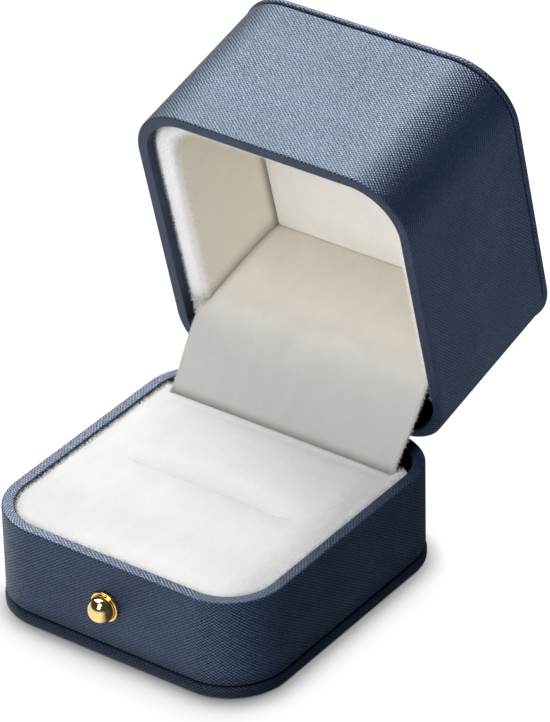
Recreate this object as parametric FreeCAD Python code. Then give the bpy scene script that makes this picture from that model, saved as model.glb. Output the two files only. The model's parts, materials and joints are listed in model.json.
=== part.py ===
"""A hinged presentation box for one finger ring, lid open on its stop.

Millimetres, +Z up. X runs across the box, -Y is the front with the gilt stud,
+Y is the hinged back. The origin is the middle of the underside.
"""

import FreeCAD
import Part
import math
import os

# driving dimensions of the box
box_width = 56.0
box_depth = 60.0
corner_radius = 11.0
rim_height = 19.1  # from the floor to the rim of the lower half
lid_height = 33.3  # from that rim to the top of the closed lid
open_angle = 76.1  # the lid rests this far open

# hinge line, just inside the back of the rim
hinge_y = box_depth / 2 - 0.6
hinge_z = rim_height - 0.5
rim_gap = 0.1  # between the two rims when shut

# covered walls
wrap_thickness = 0.5
shell_thickness = 1.3
turn_in_thickness = 0.4
turn_in_depth = 4.0
turn_under_width = 5.0
shell_floor = 1.5
rim_round = 0.8
foot_round = 0.3

# end plates, a covered board on the bottom and on the top
plate_proud = 0.2
plate_edge_round = 0.35
base_plate_thickness = 2.4  # with the groove above it
base_groove_height = 0.4
lid_plate_thickness = 1.3
lid_groove_height = 0.35
groove_depth = 1.4
plate_turn_in_width = 6.0

# ring cushion
cushion_back = 19.0
cushion_top = 18.6
cushion_edge_round = 1.5
velvet_thickness = 0.6
card_thickness = 1.0
slit_length = 32.0
slit_width = 0.6
slit_depth = 9.0
slit_y = -2.3
fit_gap = 0.1

# lid lining
lining_thickness = 3.8
lining_recess = 2.1
lining_back = 17.9
lining_round = 1.2
ceiling_z = 43.0
panel_front = 16.4
panel_pad_thickness = 0.8
panel_gap = 0.1

# velvet flap between the cushion and the back panel of the lid
flap_half_width = 23.5
flap_tuck_depth = 8.0

# hinge
barrel_radius = 0.8
pin_radius = 0.4
pin_clearance = 0.04
leaf_thickness = 0.45
leaf_half_width = 17.0
leaf_reach = 11.0
notch_margin = 0.3
knuckle_count = 5
knuckle_gap = 0.2
rivet_radius = 0.6
rivet_head_radius = 1.3
rivet_head_thickness = 0.45
rivet_x = 11.0
spring_half_width = 6.0
spring_thickness = 0.3
spring_bow = 0.9

# gilt stud
stud_x = -0.5  # set by hand, a little off the middle
stud_z = 10.6
ball_radius = 2.4
ball_reach = 1.45  # from the wall to the middle of the ball
neck_radius = 0.9
collar_radius = 2.8
collar_thickness = 0.9
collar_round = 0.3
washer_radius = 2.6
washer_thickness = 0.35

# sizes that follow from the ones above
wall_thickness = wrap_thickness + shell_thickness + turn_in_thickness
shell_inset = wrap_thickness
hollow_inset = wrap_thickness + shell_thickness
base_wall_height = rim_height - base_plate_thickness
lid_top = rim_height + lid_height
lid_foot = lid_top - lid_plate_thickness
lid_rim = rim_height + rim_gap
lid_wall_height = lid_foot - lid_rim
shell_inner_back = box_depth / 2 - hollow_inset
leaf_y = shell_inner_back - leaf_thickness
base_floor_top = base_plate_thickness + turn_in_thickness + shell_floor
lid_floor_under = lid_foot - turn_in_thickness - shell_floor
lining_rim = lid_rim + lining_recess
flap_mouth_z = lining_rim - 0.5  # the wide part of the flap ends short of the lining
panel_half_width = box_width / 2 - wall_thickness - lining_thickness - fit_gap
notch_half_width = leaf_half_width + notch_margin
notch_reach = barrel_radius + notch_margin


def outline_block(inset, low, high):
    """A block with the rounded plan of the box, drawn in by inset."""
    half_x = box_width / 2 - inset
    half_y = box_depth / 2 - inset
    radius = corner_radius - inset
    corner = FreeCAD.Vector(-half_x, -half_y, low)
    block = Part.makeBox(2 * half_x, 2 * half_y, high - low, corner)
    return block.makeFillet(radius, upright_edges(block))


def upright_edges(shape):
    """The straight edges that run along Z."""
    found = []
    for edge in shape.Edges:
        box = edge.BoundBox
        if box.ZLength > 0.01 and box.XLength < 0.01 and box.YLength < 0.01:
            found.append(edge)
    return found


def level_edges(shape, level):
    """The edges that lie flat at one height."""
    found = []
    for edge in shape.Edges:
        box = edge.BoundBox
        if box.ZLength < 0.001 and abs(box.ZMin - level) < 0.001:
            found.append(edge)
    return found


def slab(x_low, x_high, y_low, y_high, z_low, z_high):
    """A plain block between six planes."""
    corner = FreeCAD.Vector(x_low, y_low, z_low)
    return Part.makeBox(x_high - x_low, y_high - y_low, z_high - z_low, corner)


def raised(shape, height):
    """The same shape, moved up."""
    return shape.translated(FreeCAD.Vector(0, 0, height))


def upside_down(shape, top):
    """The shape turned over in Z, so that its foot is the top."""
    flipped = shape.mirror(FreeCAD.Vector(0, 0, 0), FreeCAD.Vector(0, 0, 1))
    return raised(flipped, top)


def along_x(points, half_width):
    """A closed side outline, given as Y and Z, carried across the box."""
    ring = [FreeCAD.Vector(-half_width, y, z) for y, z in points]
    ring.append(ring[0])
    face = Part.Face(Part.makePolygon(ring))
    return face.extrude(FreeCAD.Vector(2 * half_width, 0, 0))


def opened(shape):
    """A piece of the closed lid, swung back to where the lid rests."""
    turned = shape.copy()
    centre = FreeCAD.Vector(0, hinge_y, hinge_z)
    turned.rotate(centre, FreeCAD.Vector(1, 0, 0), -open_angle)
    return turned


def hinge_notch(low, high):
    """Room for the hinge barrel in the back of a rim."""
    back = box_depth / 2 + 1
    return slab(-notch_half_width, notch_half_width, leaf_y, back, low, high)


# ---- covered walls, drawn with the foot at zero and the rim at the given height


def wall_shell(height):
    """The moulded tray inside the covering: a floor and four walls."""
    floor_under = turn_in_thickness
    top = height - wrap_thickness
    outer = outline_block(shell_inset, floor_under, top)
    hollow = outline_block(hollow_inset, floor_under + shell_floor, top)
    shell = outer.cut(hollow)
    return shell.cut(hinge_notch(height - notch_below_rim(), height))


def notch_below_rim():
    """How far the notch for the hinge barrel goes down from the rim."""
    return rim_height - hinge_z + notch_reach


def wall_wrap(height):
    """The covering: skin, rim, a turned-in edge and a turned-under edge."""
    skin = outline_block(0, 0, height)
    skin = skin.makeFillet(rim_round, level_edges(skin, height))
    skin = skin.makeFillet(foot_round, level_edges(skin, 0))
    turn_in_low = height - turn_in_depth
    room = outline_block(shell_inset, turn_in_thickness, height - wrap_thickness)
    turn_in = outline_block(hollow_inset, turn_in_low, height - wrap_thickness)
    wrap = skin.cut(room).fuse(turn_in)
    wrap = wrap.cut(outline_block(wall_thickness, turn_in_low, height))
    wrap = wrap.cut(outline_block(turn_under_width, 0, turn_in_thickness))
    wrap = wrap.cut(hinge_notch(height - notch_below_rim(), height))
    back = shell_inner_back
    leaf_room = slab(-notch_half_width, notch_half_width, leaf_y, back, 0, height)
    return wrap.cut(leaf_room).removeSplitter()


def plate_wrap(thickness, groove):
    """The covering of an end plate, turned in and raised to meet the wall."""
    edge = thickness - groove
    bend = 0.42 * edge
    skin = outline_block(-plate_proud, 0, edge)
    skin = skin.makeFillet(bend, level_edges(skin, edge))
    skin = skin.makeFillet(plate_edge_round, level_edges(skin, 0))
    skin = skin.fuse(outline_block(groove_depth, edge / 2, thickness))
    wrap = skin.cut(plate_board(thickness, groove))
    open_low = edge - turn_in_thickness
    wrap = wrap.cut(outline_block(plate_turn_in_width, open_low, thickness))
    return wrap.removeSplitter()


def plate_board(thickness, groove):
    """The stiff board inside an end plate."""
    low = turn_in_thickness
    return outline_block(wrap_thickness, low, thickness - groove - turn_in_thickness)


# ---- lower half


def base_tray():
    hole = stud_hole(neck_radius)
    tray = raised(wall_shell(base_wall_height), base_plate_thickness)
    return tray.cut(hole).cut(rivet_holes())


def base_wall_wrap():
    wrap = raised(wall_wrap(base_wall_height), base_plate_thickness)
    return wrap.cut(stud_hole(neck_radius))


def base_plate_board():
    return plate_board(base_plate_thickness, base_groove_height)


def base_plate_wrap():
    return plate_wrap(base_plate_thickness, base_groove_height)


def cushion_card():
    """The card that the cushion stands on."""
    return cushion_plan(fit_gap, base_floor_top, base_floor_top + card_thickness)


def cushion_plan(inset, low, high):
    """A block with the plan of the cushion: round at the front, square behind."""
    block = outline_block(wall_thickness + inset, low, high)
    back = cushion_back - inset
    return block.cut(slab(-box_width, box_width, back, box_depth, low, high))


def ring_slit(half_length, half_width):
    """The slit that takes the band of a ring."""
    low = cushion_top - slit_depth
    front = slit_y - half_width
    back = slit_y + half_width
    return slab(-half_length, half_length, front, back, low, cushion_top)


def cushion_foam():
    """The foam block under the velvet."""
    low = base_floor_top + card_thickness
    inset = fit_gap + velvet_thickness
    foam = cushion_plan(inset, low, cushion_top - velvet_thickness)
    level = cushion_top - velvet_thickness
    foam = foam.makeFillet(cushion_edge_round, level_edges(foam, level))
    slit = ring_slit(slit_length / 2 + velvet_thickness, slit_width / 2 + velvet_thickness)
    return foam.cut(slit)


def cushion_velvet():
    """The velvet over the foam, tucked into the slit and down the sides."""
    low = base_floor_top + card_thickness
    cover = cushion_plan(fit_gap, low, cushion_top)
    cover = cover.makeFillet(cushion_edge_round, level_edges(cover, cushion_top))
    cover = cover.cut(ring_slit(slit_length / 2, slit_width / 2))
    return cover.cut(cushion_foam())


# ---- velvet flap


def flap_points():
    """The middle line of the flap at rest: cushion back, lid mouth, panel top."""
    half = velvet_thickness / 2
    tuck_y = cushion_back + half
    low = FreeCAD.Vector(0, tuck_y, cushion_top - flap_tuck_depth)
    crease = FreeCAD.Vector(0, tuck_y, cushion_top)
    face_y = panel_front + half
    mouth = opened_point(face_y, flap_mouth_z)
    top = opened_point(face_y, ceiling_z - fit_gap)
    return low, crease, mouth, top


def opened_point(y, z):
    """Where a point of the closed lid stands when the lid is open."""
    turn = math.radians(open_angle)
    dy = y - hinge_y
    dz = z - hinge_z
    back = hinge_y + dy * math.cos(turn) + dz * math.sin(turn)
    up = hinge_z - dy * math.sin(turn) + dz * math.cos(turn)
    return FreeCAD.Vector(0, back, up)


def sheet_run(start, end, half_width):
    """A straight run of the sheet with rounded ends, so that runs join up."""
    half = velvet_thickness / 2
    run = end - start
    length = run.Length
    block = slab(-half_width, half_width, -half, half, 0, length)
    angle = math.degrees(math.atan2(-run.y, run.z))
    block.rotate(FreeCAD.Vector(0, 0, 0), FreeCAD.Vector(1, 0, 0), angle)
    return block.translated(start)


def sheet_bend(at, half_width):
    """The rounded fold between two runs."""
    start = FreeCAD.Vector(-half_width, at.y, at.z)
    across = FreeCAD.Vector(1, 0, 0)
    return Part.makeCylinder(velvet_thickness / 2, 2 * half_width, start, across)


def hinge_flap():
    """One sheet, from behind the cushion up over the lid's back panel."""
    low, crease, mouth, top = flap_points()
    sheet = sheet_run(low, crease, flap_half_width)
    sheet = sheet.fuse(sheet_bend(crease, flap_half_width))
    sheet = sheet.fuse(sheet_run(crease, mouth, flap_half_width))
    sheet = sheet.fuse(sheet_bend(mouth, panel_half_width))
    sheet = sheet.fuse(sheet_run(mouth, top, panel_half_width))
    return sheet.removeSplitter()


# ---- hinge


def knuckle_span(index):
    """Where a knuckle starts and ends along the hinge line."""
    pitch = 2 * leaf_half_width / knuckle_count
    start = -leaf_half_width + index * pitch
    return start + knuckle_gap / 2, start + pitch - knuckle_gap / 2


def knuckles(first):
    """Every second knuckle, each with the strip that joins it to the leaf."""
    pieces = []
    bore = pin_radius + pin_clearance
    for index in range(first, knuckle_count, 2):
        low, high = knuckle_span(index)
        start = FreeCAD.Vector(low, hinge_y, hinge_z)
        across = FreeCAD.Vector(1, 0, 0)
        tube = Part.makeCylinder(barrel_radius, high - low, start, across)
        strip_top = hinge_z - barrel_radius + leaf_thickness
        strip_low = hinge_z - barrel_radius
        strip = slab(low, high, leaf_y, hinge_y, strip_low, strip_top)
        hole = Part.makeCylinder(bore, high - low, start, across)
        pieces.append(tube.fuse(strip).cut(hole))
    return pieces


def leaf(first):
    """A hinge leaf as the lower one stands, with its knuckles above."""
    top = hinge_z - barrel_radius + leaf_thickness
    low = hinge_z - leaf_reach
    back = leaf_y + leaf_thickness
    plate = slab(-leaf_half_width, leaf_half_width, leaf_y, back, low, top)
    return plate.multiFuse(knuckles(first)).removeSplitter()


def lid_side(shape):
    """A piece of the lower leaf, mirrored about the hinge line for the lid."""
    middle = FreeCAD.Vector(0, 0, hinge_z)
    return shape.mirror(middle, FreeCAD.Vector(0, 0, 1))


def base_hinge_leaf():
    return leaf(0).cut(rivet_holes())


def lid_hinge_leaf():
    return opened(lid_side(leaf(1).cut(rivet_holes())))


def hinge_pin():
    start = FreeCAD.Vector(-leaf_half_width, hinge_y, hinge_z)
    return Part.makeCylinder(pin_radius, 2 * leaf_half_width, start, FreeCAD.Vector(1, 0, 0))


def rivet_height():
    """The height of the rivets that hold the lower leaf."""
    return hinge_z - 0.6 * leaf_reach


def rivet_hole(x):
    start = FreeCAD.Vector(x, leaf_y, rivet_height())
    length = box_depth / 2 - wrap_thickness - leaf_y
    return Part.makeCylinder(rivet_radius, length, start, FreeCAD.Vector(0, 1, 0))


def rivet_holes():
    return rivet_hole(-rivet_x).fuse(rivet_hole(rivet_x))


def rivet(x):
    """A rivet through the leaf and the wall, its head on the leaf."""
    start = FreeCAD.Vector(x, leaf_y - rivet_head_thickness, rivet_height())
    across = FreeCAD.Vector(0, 1, 0)
    head = Part.makeCylinder(rivet_head_radius, rivet_head_thickness, start, across)
    return head.fuse(rivet_hole(x))


def hinge_snap_spring():
    """The bowed strip that snaps the lid open and shut."""
    low = hinge_z - leaf_reach
    foot = low + 2.0
    top = hinge_z - barrel_radius - 0.3
    middle = (foot + top) / 2
    face = leaf_y
    inner = [(face, low), (face, foot)]
    bow = [(face - spring_bow, middle), (face, top)]
    front = [(y - spring_thickness, z) for y, z in reversed(inner + bow)]
    return along_x(inner + bow + front, spring_half_width)


# ---- gilt stud


def stud_hole(radius):
    """The hole through the front wall."""
    start = FreeCAD.Vector(stud_x, -box_depth / 2 - 1, stud_z)
    return Part.makeCylinder(radius, wall_thickness + 2, start, FreeCAD.Vector(0, 1, 0))


def stud_ball():
    """The ball, flat behind, and the shank that goes through the wall."""
    front = -box_depth / 2
    centre = FreeCAD.Vector(stud_x, front - ball_reach, stud_z)
    ball = Part.makeSphere(ball_radius, centre)
    behind = slab(-box_width, box_width, front - fit_gap, box_depth, -box_width, box_width)
    ball = ball.cut(behind)
    inner_end = front + hollow_inset + washer_thickness
    shank = Part.makeCylinder(neck_radius, inner_end - centre.y, centre, FreeCAD.Vector(0, 1, 0))
    return ball.fuse(shank)


def stud_collar():
    """The ring that the ball stands in."""
    front = -box_depth / 2
    start = FreeCAD.Vector(stud_x, front, stud_z)
    out = FreeCAD.Vector(0, -1, 0)
    collar = Part.makeCylinder(collar_radius, collar_thickness, start, out)
    rim = [edge for edge in collar.Edges if abs(edge.BoundBox.YMax - front + collar_thickness) < 0.01]
    collar = collar.makeFillet(collar_round, rim)
    centre = FreeCAD.Vector(stud_x, front - ball_reach, stud_z)
    cup = Part.makeSphere(ball_radius + fit_gap, centre)
    bore = Part.makeCylinder(neck_radius, collar_thickness, start, out)
    return collar.cut(cup).cut(bore)


def stud_washer():
    """The washer that the shank is clinched over inside the wall."""
    start = FreeCAD.Vector(stud_x, -box_depth / 2 + hollow_inset, stud_z)
    inward = FreeCAD.Vector(0, 1, 0)
    washer = Part.makeCylinder(washer_radius, washer_thickness, start, inward)
    return washer.cut(stud_hole(neck_radius))


# ---- lid, drawn closed


def lid_shell():
    shell = upside_down(wall_shell(lid_wall_height), lid_foot)
    return opened(shell.cut(lid_side(rivet_holes())))


def lid_wall_wrap():
    return opened(upside_down(wall_wrap(lid_wall_height), lid_foot))


def lid_plate_board():
    board = plate_board(lid_plate_thickness, lid_groove_height)
    return opened(upside_down(board, lid_top))


def lid_plate_wrap():
    wrap = plate_wrap(lid_plate_thickness, lid_groove_height)
    return opened(upside_down(wrap, lid_top))


def lining_band(outer, inner, low, high):
    """A band round the sides and front of the lid, open at the back."""
    band = outline_block(outer, low, high).cut(outline_block(inner, low, high))
    return band.cut(slab(-box_width, box_width, lining_back, box_depth, low, high))


def lid_lining_card():
    """The card that stiffens the side lining."""
    outer = wall_thickness + fit_gap
    low = lining_rim + lining_round
    return opened(lining_band(outer, outer + card_thickness, low, ceiling_z))


def lid_lining_velvet():
    """Padded velvet round the sides and front, rolled over the card's edge."""
    outer = wall_thickness + fit_gap
    inner = wall_thickness + lining_thickness
    pad = lining_band(outer, inner, lining_rim, ceiling_z)
    pad = pad.makeFillet(lining_round, level_edges(pad, lining_rim))
    low = lining_rim + lining_round
    return opened(pad.cut(lining_band(outer, outer + card_thickness, low, ceiling_z)))


def ceiling_block(inset, low, high):
    """A block with the plan of the lid's ceiling, square behind."""
    block = outline_block(hollow_inset + inset, low, high)
    back = lining_back
    return block.cut(slab(-box_width, box_width, back, box_depth, low, high))


def lid_ceiling_foam():
    low = ceiling_z + velvet_thickness
    return opened(ceiling_block(fit_gap, low, lid_floor_under))


def lid_ceiling_velvet():
    """The velvet stretched under the foam."""
    return opened(ceiling_block(fit_gap, ceiling_z, ceiling_z + velvet_thickness))


def lid_panel_card():
    """The back panel of the lid, in front of the hinge."""
    front = panel_front + velvet_thickness + panel_pad_thickness + panel_gap
    high = ceiling_z - fit_gap
    width = panel_half_width
    card = slab(-width, width, front, front + card_thickness, lining_rim, high)
    return opened(card)


def lid_panel_pad():
    """The thin pad between that card and the velvet."""
    front = panel_front + velvet_thickness + panel_gap
    back = front + panel_pad_thickness
    high = ceiling_z - fit_gap
    pad = slab(-panel_half_width, panel_half_width, front, back, lining_rim, high)
    return opened(pad)


def rivet_pair():
    """The two rivets of the lower leaf, keyed by side."""
    return {"left": rivet(-rivet_x), "right": rivet(rivet_x)}


def all_pieces():
    """Every piece by the name of its node."""
    pieces = {
        "base_plate_board": base_plate_board(),
        "base_plate_wrap": base_plate_wrap(),
        "base_tray": base_tray(),
        "base_wall_wrap": base_wall_wrap(),
        "cushion_card": cushion_card(),
        "cushion_foam": cushion_foam(),
        "cushion_velvet": cushion_velvet(),
        "hinge_flap": hinge_flap(),
        "base_hinge_leaf": base_hinge_leaf(),
        "hinge_pin": hinge_pin(),
        "hinge_snap_spring": hinge_snap_spring(),
        "stud_ball": stud_ball(),
        "stud_collar": stud_collar(),
        "stud_washer": stud_washer(),
        "lid_shell": lid_shell(),
        "lid_wall_wrap": lid_wall_wrap(),
        "lid_plate_board": lid_plate_board(),
        "lid_plate_wrap": lid_plate_wrap(),
        "lid_lining_card": lid_lining_card(),
        "lid_lining_velvet": lid_lining_velvet(),
        "lid_ceiling_foam": lid_ceiling_foam(),
        "lid_ceiling_velvet": lid_ceiling_velvet(),
        "lid_panel_card": lid_panel_card(),
        "lid_panel_pad": lid_panel_pad(),
        "lid_hinge_leaf": lid_hinge_leaf(),
    }
    for side, shape in rivet_pair().items():
        pieces["base_rivet_" + side] = shape
        pieces["lid_rivet_" + side] = opened(lid_side(shape))
    return pieces


os.makedirs("parts", exist_ok=True)
for name, piece in all_pieces().items():
    if len(piece.Solids) != 1 or not piece.isValid():
        print("check", name, "solids", len(piece.Solids), "valid", piece.isValid())
    piece.exportStep("parts/" + name + ".step")
    box = piece.BoundBox
    print(name, round(box.XMin, 2), round(box.XMax, 2), round(box.YMin, 2), round(box.YMax, 2),
          round(box.ZMin, 2), round(box.ZMax, 2), round(piece.Volume, 1))
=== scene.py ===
import bpy
import bmesh
import json
import math
import numpy as np
from mathutils import Matrix, Vector
from mathutils.bvhtree import BVHTree


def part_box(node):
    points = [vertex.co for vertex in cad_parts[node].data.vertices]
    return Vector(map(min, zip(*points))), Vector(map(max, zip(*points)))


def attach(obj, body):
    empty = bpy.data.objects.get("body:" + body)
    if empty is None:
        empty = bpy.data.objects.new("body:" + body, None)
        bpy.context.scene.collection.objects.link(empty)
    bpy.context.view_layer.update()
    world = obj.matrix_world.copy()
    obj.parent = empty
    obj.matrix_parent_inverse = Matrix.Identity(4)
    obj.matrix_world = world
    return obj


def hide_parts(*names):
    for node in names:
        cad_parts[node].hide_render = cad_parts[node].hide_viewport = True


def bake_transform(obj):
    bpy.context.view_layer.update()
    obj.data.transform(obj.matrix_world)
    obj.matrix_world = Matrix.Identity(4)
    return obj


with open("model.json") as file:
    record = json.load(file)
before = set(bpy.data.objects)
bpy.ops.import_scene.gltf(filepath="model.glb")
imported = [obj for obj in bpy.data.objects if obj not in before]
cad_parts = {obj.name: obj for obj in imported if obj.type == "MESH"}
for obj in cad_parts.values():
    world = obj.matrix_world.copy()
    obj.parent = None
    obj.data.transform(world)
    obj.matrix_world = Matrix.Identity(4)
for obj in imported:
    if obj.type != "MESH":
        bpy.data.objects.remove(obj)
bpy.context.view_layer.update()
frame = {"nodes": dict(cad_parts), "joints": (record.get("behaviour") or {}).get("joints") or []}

mm = 0.001
scene = bpy.context.scene
scene.view_settings.view_transform = "Standard"

# the hinge, and the turn that opens the lid from shut to where it rests
hinge = frame["joints"][0]
hingeAt = Vector(hinge["pos_m"])
openTurn = Matrix.Rotation(-math.radians(hinge["range_deg"][1]), 4, "X")
openUp = Matrix.Translation(hingeAt) @ openTurn @ Matrix.Translation(-hingeAt)
closeUp = openUp.inverted()


def closedBox(node):
    # lowest and highest corner of a lid node, with the lid shut
    points = np.array([closeUp @ v.co for v in frame["nodes"][node].data.vertices])
    return Vector(points.min(0)), Vector(points.max(0))


# sizes taken from the frame
wallLow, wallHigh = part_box("base_wall_wrap")
plateLow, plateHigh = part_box("base_plate_wrap")
velvetLow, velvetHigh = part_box("cushion_velvet")
ballLow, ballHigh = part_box("stud_ball")
collarLow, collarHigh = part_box("stud_collar")
lidPlateLow, lidPlateHigh = closedBox("lid_plate_wrap")
liningLow = closedBox("lid_lining_velvet")[0]
ceilingLow = closedBox("lid_ceiling_velvet")[0]
halfWidth = wallHigh.x
halfDepth = wallHigh.y
rimHeight = wallHigh.z
lidRim = closedBox("lid_wall_wrap")[0].z
cornerRadius = 11 * mm
wallThickness = 2.2 * mm


# ---- meshes


def outline(cornerSteps=20, straightStep=2.0 * mm):
    # the plan of the box: places, outward directions and lengths along it, from the middle of the back
    centreX = halfWidth - cornerRadius
    centreY = halfDepth - cornerRadius
    corners = [(-centreX, centreY, 90), (-centreX, -centreY, 180), (centreX, -centreY, 270), (centreX, centreY, 0)]
    places, outward = [], []

    def straight(a, b, normal):
        count = max(2, round((b - a).length / straightStep))
        for k in range(count):
            places.append(a.lerp(b, k / count))
            outward.append(normal)

    start = Vector((0, halfDepth))
    at = start
    for x, y, turn in corners:
        first = math.radians(turn)
        normal = Vector((math.cos(first), math.sin(first)))
        straight(at, Vector((x, y)) + normal * cornerRadius, normal)
        for k in range(cornerSteps):
            angle = first + math.radians(90) * k / cornerSteps
            normal = Vector((math.cos(angle), math.sin(angle)))
            places.append(Vector((x, y)) + normal * cornerRadius)
            outward.append(normal)
        last = first + math.radians(90)
        at = Vector((x, y)) + Vector((math.cos(last), math.sin(last))) * cornerRadius
    straight(at, start, Vector((0, 1)))
    along = [0.0]
    for a, b in zip(places, places[1:] + places[:1]):
        along.append(along[-1] + (b - a).length)
    return places, outward, along


def arc(centre, radius, first, last, steps):
    # points of a round stretch of a side outline
    turns = [math.radians(first + (last - first) * k / steps) for k in range(steps + 1)]
    return [(centre[0] + radius * math.cos(t), centre[1] + radius * math.sin(t)) for t in turns]


def evenly(a, b, count):
    # points from a towards b, without b
    return [(a[0] + (b[0] - a[0]) * k / count, a[1] + (b[1] - a[1]) * k / count) for k in range(count)]


def smoothstep(low, high, value):
    t = min(1.0, max(0.0, (value - low) / (high - low)))
    return t * t * (3 - 2 * t)


def addMesh(name, places, faces, finish, uvs=None, smooth=True):
    mesh = bpy.data.meshes.new(name)
    mesh.from_pydata([tuple(p) for p in places], [], faces)
    if uvs is not None:
        layer = mesh.uv_layers.new(name="cloth")
        layer.data.foreach_set("uv", np.array(uvs, np.float32).ravel())
    mesh.update()
    obj = bpy.data.objects.new(name, mesh)
    scene.collection.objects.link(obj)
    if smooth:
        mesh.polygons.foreach_set("use_smooth", [True] * len(mesh.polygons))
    if finish:
        mesh.materials.append(finish)
    return obj


def sweep(name, profileAt, finish, closed=True):
    # a side outline, given as inset and height for each outward direction, carried round the plan
    places, outward, along = outline()
    count = len(places)
    sides = [profileAt(n) for n in outward]
    high = len(sides[0])
    points, faces, uvs = [], [], []
    climbs = []
    for p, n, side in zip(places, outward, sides):
        climb = [0.0]
        for a, b in zip(side, side[1:] + side[:1]):
            climb.append(climb[-1] + math.dist(a, b))
        climbs.append(climb)
        points += [(p.x - n.x * inset, p.y - n.y * inset, z) for inset, z in side]
    for i in range(count):
        for j in range(high if closed else high - 1):
            i1, j1 = (i + 1) % count, (j + 1) % high
            faces.append((i * high + j, i1 * high + j, i1 * high + j1, i * high + j1))
            uvs += [(along[i], climbs[i][j]), (along[i + 1], climbs[i1][j])]
            uvs += [(along[i + 1], climbs[i1][j + 1]), (along[i], climbs[i][j + 1])]
    return addMesh(name, points, faces, finish, uvs)


def moved(obj, matrix):
    # turns and moves the mesh itself
    obj.data.transform(matrix)
    obj.data.update()
    return obj


def applied(obj):
    # the object with its modifiers made part of its mesh
    graph = bpy.context.evaluated_depsgraph_get()
    mesh = bpy.data.meshes.new_from_object(obj.evaluated_get(graph), depsgraph=graph)
    obj.modifiers.clear()
    obj.data = mesh
    return obj


def cutBy(obj, low, high):
    # takes a block out of a closed piece
    corners = [(x, y, z) for x in (low[0], high[0]) for y in (low[1], high[1]) for z in (low[2], high[2])]
    faces = [(0, 1, 3, 2), (4, 6, 7, 5), (0, 4, 5, 1), (2, 3, 7, 6), (0, 2, 6, 4), (1, 5, 7, 3)]
    cutter = addMesh("cutter", corners, faces, None, smooth=False)
    cut = obj.modifiers.new("cut", "BOOLEAN")
    cut.operation = "DIFFERENCE"
    cut.solver = "EXACT"
    cut.object = cutter
    applied(obj)
    bpy.data.objects.remove(cutter)
    return obj


def closeUpMesh(obj, capUvs=False):
    # merges doubles, fills open ends and turns all faces to point out
    shape = bmesh.new()
    shape.from_mesh(obj.data)
    bmesh.ops.remove_doubles(shape, verts=shape.verts, dist=1e-7)
    rims = [e for e in shape.edges if e.is_boundary]
    if rims:
        caps = bmesh.ops.holes_fill(shape, edges=rims, sides=0)["faces"]
        if capUvs:
            layer = shape.loops.layers.uv["cloth"]
            for face in caps:
                for loop in face.loops:
                    loop[layer].uv = (loop.vert.co.x, loop.vert.co.y)
    bmesh.ops.recalc_face_normals(shape, faces=shape.faces)
    shape.to_mesh(obj.data)
    shape.free()
    return obj


def subdivided(obj, levels):
    finer = obj.modifiers.new("finer", "SUBSURF")
    finer.levels = levels
    finer.render_levels = levels
    return applied(obj)


def inflated(obj, pinned, look):
    # puffs the free part of a padded piece up with cloth under pressure
    rest = [v.co.copy() for v in obj.data.vertices]
    scale = look["scale"]
    obj.data.transform(Matrix.Scale(scale, 4))
    group = obj.vertex_groups.new(name="pinned")
    for index, weight in enumerate(pinned):
        group.add([index], weight, "REPLACE")
    cloth = obj.modifiers.new("cloth", "CLOTH")
    cloth.settings.vertex_group_mass = "pinned"
    cloth.settings.quality = 6
    cloth.settings.mass = 0.2
    cloth.settings.tension_stiffness = look["stretch"]
    cloth.settings.compression_stiffness = look["stretch"]
    cloth.settings.shear_stiffness = look["stretch"] / 3
    cloth.settings.bending_stiffness = look["bend"]
    cloth.settings.use_pressure = True
    cloth.settings.uniform_pressure_force = look["pressure"]
    cloth.settings.effector_weights.gravity = 0
    cloth.collision_settings.use_collision = False
    cloth.point_cache.frame_start = 1
    cloth.point_cache.frame_end = look["frames"]
    for step in range(1, look["frames"] + 1):
        scene.frame_set(step)
    graph = bpy.context.evaluated_depsgraph_get()
    puffed = [v.co / scale for v in obj.evaluated_get(graph).data.vertices]
    obj.modifiers.clear()
    obj.vertex_groups.clear()
    scene.frame_set(1)
    most = 0.0
    for v, a, b in zip(obj.data.vertices, rest, puffed):
        step = b - a
        most = max(most, step.length)
        if step.length > look["cap"]:
            step *= look["cap"] / step.length
        v.co = a + step
    obj.data.update()
    print(obj.name, "puffed up, most", round(most / mm, 2), "mm")
    return obj


# ---- finishes


class Wire:
    # a node's output, which can be reckoned with like a number
    def __init__(self, nodes, socket):
        self.nodes = nodes
        self.socket = socket

    def maths(self, operation, *others):
        return self.nodes.add("ShaderNodeMath", {"operation": operation}, dict(enumerate((self, *others))))

    def __add__(self, other):
        return self.maths("ADD", other)

    def __radd__(self, other):
        return self.maths("ADD", other)

    def __mul__(self, other):
        return self.maths("MULTIPLY", other)

    def __rmul__(self, other):
        return self.maths("MULTIPLY", other)

    def __sub__(self, other):
        return self.maths("SUBTRACT", other)

    def __rsub__(self, other):
        return self.nodes.add("ShaderNodeMath", {"operation": "SUBTRACT"}, {0: other, 1: self})


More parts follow.
